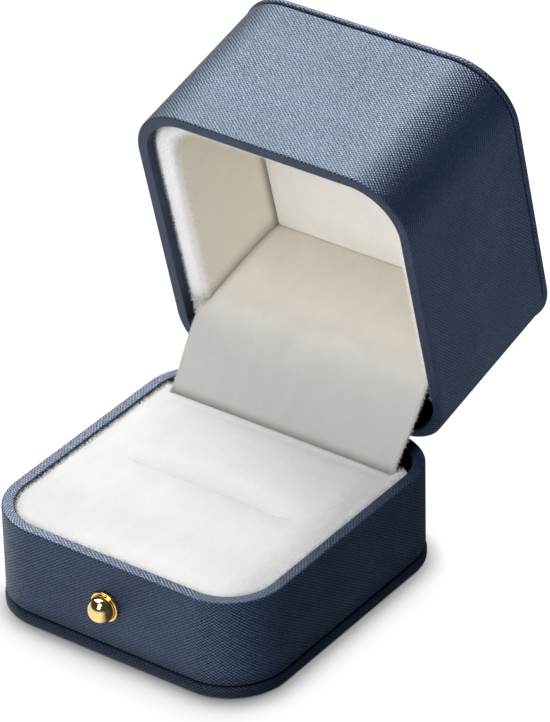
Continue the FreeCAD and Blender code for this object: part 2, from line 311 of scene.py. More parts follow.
class Nodes:
    # adds nodes to a tree and joins them
    def __init__(self, tree):
        self.tree = tree

    def add(self, kind, settings, sockets, output=0):
        node = self.tree.nodes.new(kind)
        for key, value in settings.items():
            setattr(node, key, value)
        for key, value in sockets.items():
            self.join(value, node.inputs[key])
        return Wire(self, node.outputs[output])

    def join(self, value, socket):
        if isinstance(value, Wire):
            self.tree.links.new(value.socket, socket)
        elif socket.type == "RGBA" and len(value) == 3:
            socket.default_value = (*value, 1.0)
        else:
            socket.default_value = value

    def place(self):
        return self.add("ShaderNodeTexCoord", {}, {}, output=3)

    def split(self, vector):
        node = self.add("ShaderNodeSeparateXYZ", {}, {0: vector}).socket.node
        return [Wire(self, out) for out in node.outputs]

    def run(self, where, along):
        # how far a place lies along a direction
        return self.add("ShaderNodeVectorMath", {"operation": "DOT_PRODUCT"}, {0: where, 1: along}, output=1)

    def mix(self, factor, a, b):
        return self.add("ShaderNodeMix", {"data_type": "RGBA"}, {"Factor": factor, 6: a, 7: b}, output=2)

    def noise(self, where, scale, detail=2.0, roughness=0.5):
        sockets = {"Vector": where, "Scale": scale, "Detail": detail, "Roughness": roughness}
        return self.add("ShaderNodeTexNoise", {}, sockets)

    def ramp(self, value, low, high):
        # 0 below low, 1 above high, smooth between
        sockets = {"Value": value, "From Min": low, "From Max": high}
        return self.add("ShaderNodeMapRange", {"interpolation_type": "SMOOTHSTEP"}, sockets)

    def stretched(self, where, scale, turn=0.0):
        return self.add("ShaderNodeMapping", {}, {"Vector": where, "Rotation": (0, 0, turn), "Scale": scale})

    def bump(self, height, distance):
        return self.add("ShaderNodeBump", {}, {"Height": height, "Distance": distance, "Strength": 1.0})


class Finish(Nodes):
    # the nodes of a new material
    def __init__(self, name):
        self.material = bpy.data.materials.new(name)
        self.material.use_nodes = True
        super().__init__(self.material.node_tree)
        self.surface = self.tree.nodes["Principled BSDF"]

    def set(self, **sockets):
        for key, value in sockets.items():
            self.join(value, self.surface.inputs[key.replace("_", " ")])


def coveringFinish(name, dark, light, gloss, fall, depth, foot=None):
    # blue-grey woven covering with a satin face; fall is 1 or -1 for the way its twill lines lean,
    # depth is how strongly they show, and below foot it is painted duller and darker, as shade near the floor
    look = {
        "threadsAcross": 1200.0,  # weave periods per metre along the wall
        "threadsUp": 1650.0,  # and up it
        "waver": 2.0,  # how far the lines stray, in radians
        "leaning": 0.56, "crossing": 0.44,  # shares of the two sets of twill lines
        "twill": 0.62, "slubs": 0.9, "patches": 0.2,  # what the tone is made of
        "relief": 0.047 * mm,
        "roughness": 0.315, "polish": 0.17,  # polish is how much smoother the raised threads are
        "tint": (0.66, 0.80, 1.0, 1.0), "sheenTint": (0.62, 0.74, 1.0, 1.0),
        "footShade": 0.45,
    }
    f = Finish(name)
    across, up, _ = f.split(f.add("ShaderNodeUVMap", {"uv_map": "cloth"}, {}))
    where = f.place()
    waver = (f.noise(where, 1100.0) - 0.5) * look["waver"]
    warp = across * (2 * math.pi * look["threadsAcross"]) + waver
    weft = up * (2 * math.pi * look["threadsUp"] * fall) + waver
    weave = (warp + weft).maths("COSINE") * look["leaning"] + (warp - weft).maths("COSINE") * look["crossing"]
    patches = f.noise(where, 60.0, 3.0, 0.6) - 0.5
    slubs = f.noise(where, 2600.0, 2.0, 0.6) - 0.5

    def toneOf(depth):
        tone = weave * (depth * look["twill"]) + 0.5 + slubs * (depth * look["slubs"]) + patches * look["patches"]
        # painted shade: the tone falls towards footShade below foot, darker near the floor
        if foot:
            tone = tone * (f.ramp(f.split(where)[2], 0.0, foot) * (1 - look["footShade"]) + look["footShade"])
        return tone

    relief = f.bump(weave + slubs * 0.8, look["relief"])
    roughness = weave * (depth * -look["polish"]) + look["roughness"] + patches * 0.06
    f.set(Base_Color=f.mix(toneOf(1), dark, light), Roughness=roughness, Normal=relief)
    f.set(IOR=gloss, Specular_Tint=look["tint"])
    f.set(Sheen_Weight=0.04, Sheen_Roughness=0.35, Sheen_Tint=look["sheenTint"])
    gapSockets = {"Base Color": dark, "Roughness": 0.7, "Specular IOR Level": 0.12, "Normal": relief}
    gap = f.add("ShaderNodeBsdfPrincipled", {}, gapSockets)
    threadsOverGap = f.add("ShaderNodeMixShader", {}, {"Fac": toneOf(depth), 1: gap, 2: Wire(f, f.surface.outputs[0])})
    f.join(threadsOverGap, f.tree.nodes["Material Output"].inputs["Surface"])
    return f.material


def velvetFinish(name, dark, light, paintedShade=None, paintedZone=None, creaseShadows=()):
    # short cream pile, greyed with painted shade behind the slit, towards the back, along the right edge and at the
    # front and left;
    # a zone has another colour up to a distance along a direction, painted light on the lid and painted shade on the
    # flap, and creases get painted shade
    look = {
        "creaseShadeColour": (0.32, 0.30, 0.27), "relief": 0.06 * mm,
        "brushed": 0.12, "mottled": 0.16, "level": 0.92,  # how the tone varies round its level
        "sheenTint": (1.0, 0.98, 0.95, 1.0),
    }
    f = Finish(name)
    where = f.place()
    nap = f.noise(where, 55.0, 3.0, 0.55)
    pile = f.noise(where, 5200.0, 2.0, 0.7)
    colour = f.mix(nap * 0.7 + pile * 0.4 - 0.05, dark, light)
    # painted shade: grey towards the back where the lid shades it, in the slit's shadow, along the right edge where
    # the cushion rolls away from the light but not on the brim, and at the front and left to tone down the strongest
    # light
    if paintedShade:
        x, y, _ = f.split(where)
        slit, brim = paintedShade["slit"], paintedShade["brim"]
        shares = paintedShade["shares"]
        streaks = f.noise(f.stretched(where, (1.0, 0.35, 1.0), turn=0.6), 1500.0, 4.0, 0.7)
        edge = f.ramp(x + streaks * (6 * mm), *paintedShade["edgeReach"]) * (1 - f.ramp(x, brim, brim + 0.3 * mm))
        front = f.ramp(y * -1, *paintedShade["frontReach"])
        left = f.ramp(x * -1, *paintedShade["leftReach"])
        behind = f.ramp(y, slit, slit + 0.25 * mm) * (1 - f.ramp(y, slit + 0.4 * mm, slit + paintedShade["slitReach"]))
        behind = behind * (1 - f.ramp(x.maths("ABSOLUTE"), *paintedShade["slitEnds"]))
        rearShade = f.ramp(y + x * 0.5, *paintedShade["rearReach"])
        shadeMask = edge * shares["edge"] + behind * shares["behind"] + rearShade * shares["rearShade"]
        shadeMask = shadeMask + front * shares["front"] + left * shares["left"]
        colour = f.mix(shadeMask.maths("MINIMUM", 1.0), colour, paintedShade["colour"])
    # painted light and shade: another colour up to a distance along a direction
    if paintedZone:
        run = f.run(where, paintedZone["along"])
        streaks = f.noise(where, 160.0, 3.0, 0.6) - 0.5
        inside = f.ramp(run + streaks * paintedZone["ragged"], paintedZone["from"], paintedZone["to"])
        colour = f.mix(inside, paintedZone["colour"], colour)
    # painted shade darkens each crease
    for crease in creaseShadows:
        shade = 1.0
        for along, start, end in crease:
            shade = f.ramp(f.run(where, along), start, end) * shade
        colour = f.mix(shade, colour, look["creaseShadeColour"])
    brushed = f.noise(f.stretched(where, (1.0, 0.4, 0.4)), 320.0, 3.0, 0.6) - 0.5
    tone = brushed * look["brushed"] + pile * look["mottled"] + look["level"]
    colour = f.add("ShaderNodeVectorMath", {"operation": "SCALE"}, {0: colour, "Scale": tone})
    f.set(Base_Color=colour, Roughness=0.95, Normal=f.bump(pile + nap * 0.5, look["relief"]))
    f.set(Specular_IOR_Level=0.1, Sheen_Weight=0.12, Sheen_Roughness=0.4, Sheen_Tint=look["sheenTint"])
    return f.material


def metalFinish(name, dark, light, roughness, stretch, scale):
    f = Finish(name)
    grain = f.noise(f.stretched(f.place(), stretch), scale, 3.0)
    f.set(Base_Color=f.mix(grain, dark, light), Roughness=grain * 0.08 + roughness, Normal=f.bump(grain, 0.004 * mm))
    f.set(Metallic=1.0)
    return f.material


def plainFinish(name, dark, light, roughness, scale):
    f = Finish(name)
    grain = f.noise(f.place(), scale, 3.0)
    f.set(Base_Color=f.mix(grain, dark, light), Roughness=grain * 0.15 + roughness, Normal=f.bump(grain, 0.02 * mm))
    return f.material


# the base's copy is painted lighter and the lid's darker: lit and shaded copies of one covering, set to the light on
# each; the lid's is also glossier and its twill leans the other way
coveringBase = coveringFinish("coveringBase", (0.0, 0.003, 0.010), (0.055, 0.092, 0.180), 1.54, 1, 0.78, 6 * mm)
coveringLid = coveringFinish("coveringLid", (0.0, 0.002, 0.008), (0.031, 0.056, 0.122), 1.78, -1, 0.6)

# a painted crease shadow is a list of directions, each with where it starts and is deepest along that way
right, left, back, down = (1, 0, 0), (-1, 0, 0), (0, 1, 0), (0, 0, -1)
shutHeight = closeUp[2]  # turns a place in the open lid into its height with the lid shut
shutBack = closeUp[1]  # and this one how far back it is
shutUp, shutBehind = shutHeight[:3], shutBack[:3]
liningRise = liningLow.z - shutHeight[3]
ceilingRise = ceilingLow.z - shutHeight[3]
# copies of one cream velvet, each painted lighter or darker to match the light on its part: the lid's warmer, the
# ceiling's lighter, the flap's darker and the fibre tips' lightest
velvetCushion = velvetFinish(
    "velvetCushion", (0.74, 0.735, 0.725), (0.865, 0.86, 0.848),
    # painted shade behind the slit, towards the back, along the right edge and at the front and left
    paintedShade={
        "edgeReach": (21.5 * mm, 28.5 * mm), "brim": 24.5 * mm, "frontReach": (10 * mm, 20 * mm),
        "leftReach": (2 * mm, 22 * mm), "rearReach": (0.0, 28 * mm),
        "slit": -2.2 * mm, "slitReach": 5 * mm, "slitEnds": (6 * mm, 18 * mm),
        "shares": {"edge": 0.85, "behind": 0.55, "rearShade": 0.78, "front": 0.3, "left": 0.3},
        "colour": (0.60, 0.595, 0.59),
    },
    # painted shade at the crease where the flap goes down behind the cushion
    creaseShadows=[[
        (back, velvetHigh.y - 1.2 * mm, velvetHigh.y + 1.8 * mm),
        (right, -24 * mm, -22 * mm),
        (left, -24 * mm, -23 * mm),
    ]],
)
velvetLid = velvetFinish(
    "velvetLid", (0.795, 0.75, 0.645), (0.90, 0.857, 0.765),
    # painted light: the lining's rolled edge by the rim is whiter, where it catches the light
    paintedZone={
        "along": shutUp, "from": liningRise - 0.2 * mm, "to": liningRise + 1.5 * mm,
        "ragged": 1.5 * mm, "colour": (0.89, 0.87, 0.895),
    },
    # painted shade at the creases between the lining and the back panel, and between the lining and the ceiling
    creaseShadows=[
        [(shutBehind, 12.5 * mm - shutBack[3], 17.1 * mm - shutBack[3])],
        [(shutUp, ceilingRise - 2.2 * mm, ceilingRise + 0.4 * mm)],
    ],
)
# a lighter copy for the fibre tips: painted highlight where they catch the light along the edges
velvetTips = velvetFinish("velvetTips", (0.88, 0.87, 0.86), (0.98, 0.975, 0.965))
velvetCeiling = velvetFinish("velvetCeiling", (0.92, 0.89, 0.83), (0.98, 0.96, 0.91))
insideLid = (shutUp, liningRise + 2 * mm, liningRise + 4 * mm)
velvetFlap = velvetFinish(
    "velvetFlap", (0.63, 0.59, 0.53), (0.75, 0.71, 0.65),
    # painted shade: the flap is darker low down near the cushion, up to 24 to 36 mm back
    paintedZone={"along": back, "from": 24 * mm, "to": 36 * mm, "ragged": 4 * mm, "colour": (0.50, 0.48, 0.46)},
    # painted shade at the foot crease by the cushion and along both sides inside the lid
    creaseShadows=[
        [(down, -velvetHigh.z - 1.2 * mm, -velvetHigh.z + 0.9 * mm)],
        [(right, 20.6 * mm, 23.4 * mm), insideLid],
        [(left, 20.6 * mm, 23.4 * mm), insideLid],
    ],
)
gold = metalFinish("gilt", (0.80, 0.56, 0.20), (0.92, 0.70, 0.31), 0.05, (1, 1, 1), 900.0)
steel = metalFinish("steel", (0.38, 0.38, 0.39), (0.66, 0.66, 0.67), 0.28, (60, 2500, 2500), 1.0)
tray = plainFinish("tray", (0.006, 0.007, 0.010), (0.016, 0.017, 0.022), 0.65, 2500.0)
board = plainFinish("board", (0.30, 0.28, 0.25), (0.44, 0.42, 0.38), 0.85, 1500.0)
print("finishes made")


# ---- covered walls and plates


def wallProfile(foot, rim):
    # side outline of a wall's covering as inset and height, from the foot up the outside
    look = {
        "skin": 0.5 * mm, "frontRound": 0.35 * mm, "backRound": 0.8 * mm, "innerRound": 0.3 * mm,
        "footRound": 0.3 * mm, "turnIn": 4 * mm, "turnUnder": 4 * mm, "lap": 0.4 * mm,
    }
    up = 1 if rim > foot else -1
    height = abs(rim - foot)
    skin, inner, low, lap = look["skin"], look["innerRound"], look["footRound"], look["lap"]
    under = height - skin - 0.05 * mm
    deep = height - look["turnIn"]

    def side(normal):
        outer = look["frontRound"] + (look["backRound"] - look["frontRound"]) * smoothstep(0.4, 1.0, normal.y)
        line = evenly((look["turnUnder"], 0), (low, 0), 3)
        line += arc((low, low), low, 270, 180, 5)
        line += evenly((0, low), (0, height - outer), 24)[1:]
        line += arc((outer, height - outer), outer, 180, 90, 8)
        line += evenly((outer, height), (wallThickness - inner, height), 4)[1:]
        line += arc((wallThickness - inner, height - inner), inner, 90, 0, 6)
        line += [(wallThickness, deep), (wallThickness - lap, deep), (wallThickness - lap, under)]
        line += [(skin, under), (skin, lap), (look["turnUnder"], lap)]
        return [(inset, foot + up * z) for inset, z in line]

    return side


def plate(name, low, high, groove, finish):
    # an end plate: a rounded edge below a groove, and a raised middle that meets the wall
    look = {"proud": 0.2 * mm, "outerRound": 0.35 * mm, "grooveDepth": 1.4 * mm, "flat": 4 * mm}
    up = 1 if high > low else -1
    edge = abs(high - low) - groove
    outer = look["outerRound"]
    bend = 0.5 * edge
    side = [(look["flat"], 0)] + arc((outer - look["proud"], outer), outer, 270, 180, 5)
    side += arc((bend - look["proud"], edge - bend), bend, 180, 90, 8)
    side += [(look["grooveDepth"], edge), (look["grooveDepth"], edge + groove), (look["flat"], edge + groove)]
    profile = [(inset, low + up * z) for inset, z in side]
    return closeUpMesh(sweep(name, lambda normal: profile, finish, closed=False), capUvs=True)


notch = {"half": 17.3 * mm, "front": 27 * mm, "back": 31 * mm, "reach": 1.1 * mm}


def notched(wall, low, high):
    # makes room for the hinge in the back of a wall, between two heights
    return cutBy(wall, (-notch["half"], notch["front"], low), (notch["half"], notch["back"], high))


baseWall = closeUpMesh(sweep("baseWall", wallProfile(plateHigh.z, rimHeight), coveringBase))
notched(baseWall, hingeAt.z - notch["reach"], rimHeight + 1 * mm)
lidWall = closeUpMesh(sweep("lidWall", wallProfile(lidPlateLow.z, lidRim), coveringLid))
notched(lidWall, rimHeight - 1 * mm, hingeAt.z + notch["reach"])
moved(lidWall, openUp)
basePlate = plate("basePlate", plateLow.z, plateHigh.z, 0.45 * mm, coveringBase)
lidPlate = moved(plate("lidPlate", lidPlateHigh.z, lidPlateLow.z, 0.22 * mm, coveringLid), openUp)
print("walls and plates made")


# ---- velvet

cushionLook = {
    "gap": 0.1 * mm, "edge": 1.7 * mm, "drop": 1.2 * mm,
    "crown": 0.35 * mm, "crownY": -4 * mm, "crownHalf": 26 * mm, "crownReach": 28 * mm,
    "slitHalf": 17 * mm, "slitY": -2.3 * mm, "slitDip": 2.2 * mm, "slitHalfWidth": 0.24 * mm,
    "frontLip": 0.1 * mm, "frontWide": 0.5 * mm, "backLip": 1.5 * mm, "backWide": 2.4 * mm,
    "ears": 1.9 * mm, "flapHalf": 23.6 * mm,
    "puff": {"scale": 10, "stretch": 12.0, "bend": 2.0, "pressure": 4.0, "frames": 20, "cap": 0.45 * mm},
}


def cushionBack(x):
    # where the cushion ends: behind the flap's foot, and further back on both sides of it
    return velvetHigh.y + cushionLook["ears"] * smoothstep(0, 0.4 * mm, abs(x) - cushionLook["flapHalf"])


def cushionEdge(x, y):
    # how far a point of the cushion's plan is from its edge
    inner = wallThickness + cushionLook["gap"]
    radius = cornerRadius - inner
    dx = abs(x) - (halfWidth - inner - radius)
    dy = -(halfDepth - inner - radius) - y
    if dx > 0 and dy > 0:
        near = radius - math.hypot(dx, dy)
    else:
        near = min(halfWidth - inner - abs(x), y + halfDepth - inner)
    return max(0.0, min(near, cushionBack(x) - y + 0.6 * mm))


def cushionTop(x, y):
    # height of the padded top before it is puffed up
    t = min(1.0, cushionEdge(x, y) / cushionLook["edge"])
    fall = (1 - math.sqrt(max(0.0, 1 - (1 - t) ** 2))) * cushionLook["drop"]
    along = (y - cushionLook["crownY"]) / cushionLook["crownReach"]
    crown = cushionLook["crown"] * math.cos(x / cushionLook["crownHalf"] * 1.3) * math.cos(along * 1.2)
    return velvetHigh.z + crown - fall


def slitDip(x, y):
    # how deep the velvet is drawn in at the slit
    reach = 1 - smoothstep(0.72, 1.0, abs(x) / cushionLook["slitHalf"])
    away = y - cushionLook["slitY"]
    side = "back" if away > 0 else "front"
    lip = cushionLook[side + "Lip"] * math.exp(-abs(away) / cushionLook[side + "Wide"])
    return reach * (lip + cushionLook["slitDip"] * math.exp(-((away / cushionLook["slitHalfWidth"]) ** 2)))


def cushionGrid(wide, steps):
    # rows of places over the cushion's plan, each row as wide as the plan is there
    inner = wallThickness + cushionLook["gap"]
    radius = cornerRadius - inner
    half = halfWidth - inner
    rows = []
    for y in steps:
        dy = -(halfDepth - inner - radius) - y
        limit = half if dy <= 0 else half - radius + math.sqrt(max(0.0, radius ** 2 - dy ** 2))
        reach = smoothstep(0, 3 * mm, y - velvetHigh.y + 3 * mm)
        row = [x * limit for x in np.linspace(-1, 1, wide)]
        rows.append([(x, y + (cushionBack(x) - velvetHigh.y) * reach) for x in row])
    return rows


def gridFaces(rows, wide):
    # the faces between rows of wide points each
    return [(a, a + 1, a + 1 + wide, a + wide) for j in range(rows - 1) for a in range(j * wide, (j + 1) * wide - 1)]


def padMesh(name, rows, heightAt, floorAt, finish):
    # a closed pad with the given top over a grid of places
    points = [(x, y, heightAt(x, y)) for row in rows for x, y in row]
    obj = addMesh(name, points, gridFaces(len(rows), len(rows[0])), finish)
    shape = bmesh.new()
    shape.from_mesh(obj.data)
    bmesh.ops.remove_doubles(shape, verts=shape.verts, dist=1e-6)
    edge = [e for e in shape.edges if e.is_boundary]
    for part in bmesh.ops.extrude_edge_only(shape, edges=edge)["geom"]:
        if isinstance(part, bmesh.types.BMVert):
            part.co.z = floorAt
    bmesh.ops.holes_fill(shape, edges=[e for e in shape.edges if e.is_boundary], sides=0)
    bmesh.ops.recalc_face_normals(shape, faces=shape.faces)
    for face in shape.faces:
        face.smooth = True
    shape.to_mesh(obj.data)
    shape.free()
    return obj


def makeCushion():
    # a coarse pad is puffed up, and the fine one is laid over it and drawn in at the slit
    front, back = -(halfDepth - wallThickness - cushionLook["gap"]), velvetHigh.y
    slit = cushionLook["slitY"]
    coarse = padMesh("coarse", cushionGrid(45, np.linspace(front, back, 42)), cushionTop, velvetLow.z, None)
    pinned = []
    for v in coarse.data.vertices:
        held = 1.0 - smoothstep(0.3 * mm, 3.0 * mm, cushionEdge(v.co.x, v.co.y))
        if abs(v.co.x) < cushionLook["slitHalf"] and abs(v.co.y - slit) < 0.8 * mm:
            held = 1.0
        pinned.append(1.0 if v.co.z < velvetLow.z + 0.1 * mm else held)
    inflated(coarse, pinned, cushionLook["puff"])
    smoothed = subdivided(coarse, 1)
    smoothedFaces = [p.vertices[:] for p in smoothed.data.polygons]
    tree = BVHTree.FromPolygons([v.co for v in smoothed.data.vertices], smoothedFaces)

    def top(x, y):
        hit = tree.ray_cast(Vector((x, y, velvetHigh.z + 5 * mm)), Vector((0, 0, -1)))[0]
        z = cushionTop(x, y)
        if hit and cushionEdge(x, y) > 1.5 * mm:
            z += (hit.z - z) * smoothstep(1.5 * mm, 4 * mm, cushionEdge(x, y))
        return z - slitDip(x, y)

    steps = np.concatenate([np.linspace(front, front + 2.4 * mm, 14, endpoint=False),
                            np.linspace(front + 2.4 * mm, slit - 2 * mm, 40, endpoint=False),
                            np.linspace(slit - 2 * mm, slit + 2 * mm, 44, endpoint=False),
                            np.linspace(slit + 2 * mm, back - 2 * mm, 36, endpoint=False),
                            np.linspace(back - 2 * mm, back, 10)])
    obj = padMesh("cushion", cushionGrid(121, steps), top, velvetLow.z, velvetCushion)
    bpy.data.objects.remove(coarse)
    return obj


cushion = makeCushion()

liningLook = {
    "gap": 0.1 * mm, "thick": 3.8 * mm, "thickFar": 3.2 * mm, "roll": 1.7 * mm, "rollFar": 1.4 * mm,
    "sinkFar": 0.6 * mm, "liftFront": 0.2 * mm, "liftLeft": 0.35 * mm, "outerRoll": 1.1 * mm,
    "back": 22.9 * mm, "panelAt": 17.6 * mm, "thickBack": 2.3 * mm,
    "puff": {"scale": 10, "stretch": 12.0, "bend": 2.0, "pressure": 3.0, "frames": 20, "cap": 0.3 * mm},
}


def makeLining():
    # padded band round the sides and front of the lid
    outer = wallThickness + liningLook["gap"]
    high = ceilingLow.z + 0.2 * mm
    places, outward, along = outline(cornerSteps=16, straightStep=1.4 * mm)
    keep = [k for k in range(len(places)) if places[k].y < liningLook["back"]]
    points, pinned = [], []
    for k in keep:
        far = smoothstep(-0.8, 0.4, outward[k].x)
        thick = liningLook["thick"] + (liningLook["thickFar"] - liningLook["thick"]) * far
        roll = liningLook["roll"] + (liningLook["rollFar"] - liningLook["roll"]) * far
        # the ends run on beside the hinge flap, thin enough to clear it
        back = smoothstep(liningLook["panelAt"] - 1.4 * mm, liningLook["panelAt"], places[k].y)
        thick += (liningLook["thickBack"] - thick) * back
        roll = min(roll, 0.46 * thick)
        nearFront = smoothstep(0.1, 0.8, -outward[k].y)
        outside = liningLook["outerRoll"] * (1 - far) + roll * far
        low = liningLow.z - liningLook["liftLeft"] * (1 - far)
        low += (liningLook["sinkFar"] - liningLook["liftFront"] * nearFront) * far
        side = evenly((outer, high), (outer, low + outside), 8)
        side += arc((outer + outside, low + outside), outside, 180, 270, 7)
        side += arc((outer + thick - roll, low + roll), roll, 270, 360, 7)
        side += evenly((outer + thick, low + roll), (outer + thick, high), 14)[1:] + [(outer + thick, high)]
        n = len(side)
        end = k in (keep[0], keep[-1])
        for a, z in side:
            points.append((places[k].x - outward[k].x * a, places[k].y - outward[k].y * a, z))
            free = smoothstep(0.6 * thick, thick, a - outer) * smoothstep(0, 3 * mm, high - z)
            pinned.append(1.0 if end or free < 0.05 else 1.0 - free)
    faces = []
    for i in range(len(keep) - 1):
        for j in range(n):
            j1 = (j + 1) % n
            faces.append((i * n + j, (i + 1) * n + j, (i + 1) * n + j1, i * n + j1))
    faces.append(tuple(range(n)))
    faces.append(tuple((len(keep) - 1) * n + j for j in reversed(range(n))))
    obj = addMesh("lidLining", points, faces, velvetLid)
    obj = inflated(obj, pinned, liningLook["puff"])
    return moved(closeUpMesh(obj), openUp)


lining = makeLining()

ceilingLook = {
    "back": 17.2 * mm, "depth": 4 * mm, "sag": 0.45 * mm, "sagY": -4 * mm, "sagReach": 20 * mm,
    "freeHalf": 22 * mm, "freeFront": -24 * mm, "freeBack": 16.3 * mm,
    "puff": {"scale": 10, "stretch": 12.0, "bend": 2.0, "pressure": 3.0, "frames": 20, "cap": 0.5 * mm},
}


def makeCeiling():
    # the padded inside of the lid's top, hung a little low in the middle
    inner = wallThickness
    radius = cornerRadius - inner
    half = halfWidth - inner
    rows = []
    for y in np.linspace(-(halfDepth - inner), ceilingLook["back"], 46):
        dy = -(halfDepth - inner - radius) - y
        limit = half if dy <= 0 else half - radius + math.sqrt(max(0.0, radius ** 2 - dy ** 2))
        rows.append([(x * limit, y) for x in np.linspace(-1, 1, 45)])

    def under(x, y):
        across = math.cos(min(1.0, abs(x) / ceilingLook["freeHalf"]) * math.pi / 2)
        along = math.cos((y - ceilingLook["sagY"]) / ceilingLook["sagReach"] * 1.2)
        return ceilingLow.z + 0.1 * mm - ceilingLook["sag"] * across * along

    obj = padMesh("lidCeiling", rows, under, ceilingLow.z + ceilingLook["depth"], velvetCeiling)
    pinned = []
    for v in obj.data.vertices:
        x, y = v.co.x, v.co.y
        near = min(ceilingLook["freeHalf"] - abs(x), y - ceilingLook["freeFront"], ceilingLook["freeBack"] - y)
        pinned.append(1.0 if v.co.z > ceilingLow.z + 2 * mm else 1.0 - smoothstep(0, 4 * mm, near))
    return moved(inflated(obj, pinned, ceilingLook["puff"]), openUp)


ceiling = makeCeiling()

flapLook = {
    "half": 23.5 * mm, "halfMouth": 24.0 * mm, "thickness": 0.5 * mm, "tuckY": 19.3 * mm, "tuckLow": 11 * mm,
    "belly": 0.1 * mm, "panelY": 16.1 * mm, "panelBelly": 0.3 * mm, "mouthZ": 22.4 * mm,
}


def flapLine():
    # side line of the flap: tucked behind the cushion, up to the lid's mouth, and over the back panel
    low = Vector((flapLook["tuckY"], flapLook["tuckLow"]))
    crease = Vector((flapLook["tuckY"], velvetHigh.z - 0.3 * mm))
    mouth = (openUp @ Vector((0, flapLook["panelY"], flapLook["mouthZ"]))).yz
    line = [low.lerp(crease, k / 6) for k in range(6)]
    away = (mouth - crease).normalized()
    for k in range(24):
        t = k / 24
        line.append(crease.lerp(mouth, t) + Vector((away.y, -away.x)) * math.sin(math.pi * t) * flapLook["belly"])
    for k in range(31):
        t = k / 30
        z = flapLook["mouthZ"] + (ceilingLow.z - flapLook["mouthZ"]) * t
        y = flapLook["panelY"] - flapLook["panelBelly"] * math.sin(math.pi * min(1.0, t * 1.02)) ** 0.7
        line.append((openUp @ Vector((0, y, z))).yz)
    for _ in range(6):
        line = [line[0]] + [(a + b * 2 + c) / 4 for a, b, c in zip(line, line[1:], line[2:])] + [line[-1]]
    return line


def flapHalf(p):
    # half the flap's width at a place of its side line, given as y and z
    up = smoothstep(velvetHigh.z, velvetHigh.z + 9 * mm, p[1])
    return flapLook["half"] + (flapLook["halfMouth"] - flapLook["half"]) * up


def makeFlap():
    line = flapLine()
    wide = 61
    points = []
    for p in line:
        half = flapHalf(p)
        points += [(x, p.x, p.y) for x in np.linspace(-half, half, wide)]
    obj = addMesh("hingeFlap", points, gridFaces(len(line), wide), velvetFlap)
    thick = obj.modifiers.new("thick", "SOLIDIFY")
    thick.thickness = flapLook["thickness"]
    thick.offset = 0
    length = sum((b - a).length for a, b in zip(line, line[1:]))
    return applied(obj), length


flap, flapLength = makeFlap()
print("velvet made, flap", round(flapLength / mm, 1), "mm long")


# ---- loose fibres along the velvet's edges


def pileNodes(finish):
    # scatters thin leaning cones over the faces, as many as the weight on them asks for
    group = bpy.data.node_groups.new("pile", "GeometryNodeTree")
    group.interface.new_socket("Geometry", in_out="INPUT", socket_type="NodeSocketGeometry")
    for name, value in (("Density", 1e7), ("Length", 0.7 * mm), ("Radius", 0.03 * mm), ("Lean", 0.5)):
        group.interface.new_socket(name, in_out="INPUT", socket_type="NodeSocketFloat").default_value = value
    group.interface.new_socket("Seed", in_out="INPUT", socket_type="NodeSocketInt").default_value = 1
    group.interface.new_socket("Geometry", in_out="OUTPUT", socket_type="NodeSocketGeometry")

    def node(kind, settings, sockets):
        made = group.nodes.new(kind)
        for key, value in settings.items():
            setattr(made, key, value)
        for key, value in sockets.items():
            if isinstance(value, bpy.types.NodeSocket):
                group.links.new(value, made.inputs[key])
            else:
                made.inputs[key].default_value = value
        return made

    entry = group.nodes.new("NodeGroupInput").outputs
    outlet = group.nodes.new("NodeGroupOutput").inputs
    weight = node("GeometryNodeInputNamedAttribute", {"data_type": "FLOAT"}, {"Name": "edge"})
    density = node("ShaderNodeMath", {"operation": "MULTIPLY"}, {0: weight.outputs["Attribute"], 1: entry["Density"]})
    points = node("GeometryNodeDistributePointsOnFaces", {},
                  {"Mesh": entry["Geometry"], "Density": density.outputs[0], "Seed": entry["Seed"]})
    low = node("ShaderNodeMath", {"operation": "MULTIPLY"}, {0: entry["Lean"], 1: -1.0})
    lean = node("FunctionNodeRandomValue", {"data_type": "FLOAT_VECTOR"}, {"Seed": entry["Seed"]})
    group.links.new(low.outputs[0], lean.inputs["Min"])
    group.links.new(entry["Lean"], lean.inputs["Max"])
    upright = node("ShaderNodeVectorMath", {"operation": "ADD"}, {0: points.outputs["Normal"], 1: lean.outputs[0]})
    turned = node("FunctionNodeAlignRotationToVector", {"axis": "Z"}, {"Vector": upright.outputs[0]})
    size = node("FunctionNodeRandomValue", {"data_type": "FLOAT"}, {"Seed": entry["Seed"]})
    size.inputs[2].default_value = 0.35
    size.inputs[3].default_value = 1.0
    cone = node("GeometryNodeMeshCone", {"fill_type": "NONE"}, {
        "Vertices": 3, "Side Segments": 2, "Radius Top": 0.004 * mm,
        "Radius Bottom": entry["Radius"], "Depth": entry["Length"],
    })
    spread = node("GeometryNodeInstanceOnPoints", {}, {
        "Points": points.outputs["Points"], "Instance": cone.outputs["Mesh"],
        "Rotation": turned.outputs[0], "Scale": size.outputs[1],
    })
    real = node("GeometryNodeRealizeInstances", {}, {"Geometry": spread.outputs["Instances"]})
    dressed = node("GeometryNodeSetMaterial", {}, {"Geometry": real.outputs["Geometry"], "Material": finish})
    group.links.new(dressed.outputs["Geometry"], outlet["Geometry"])
    return group


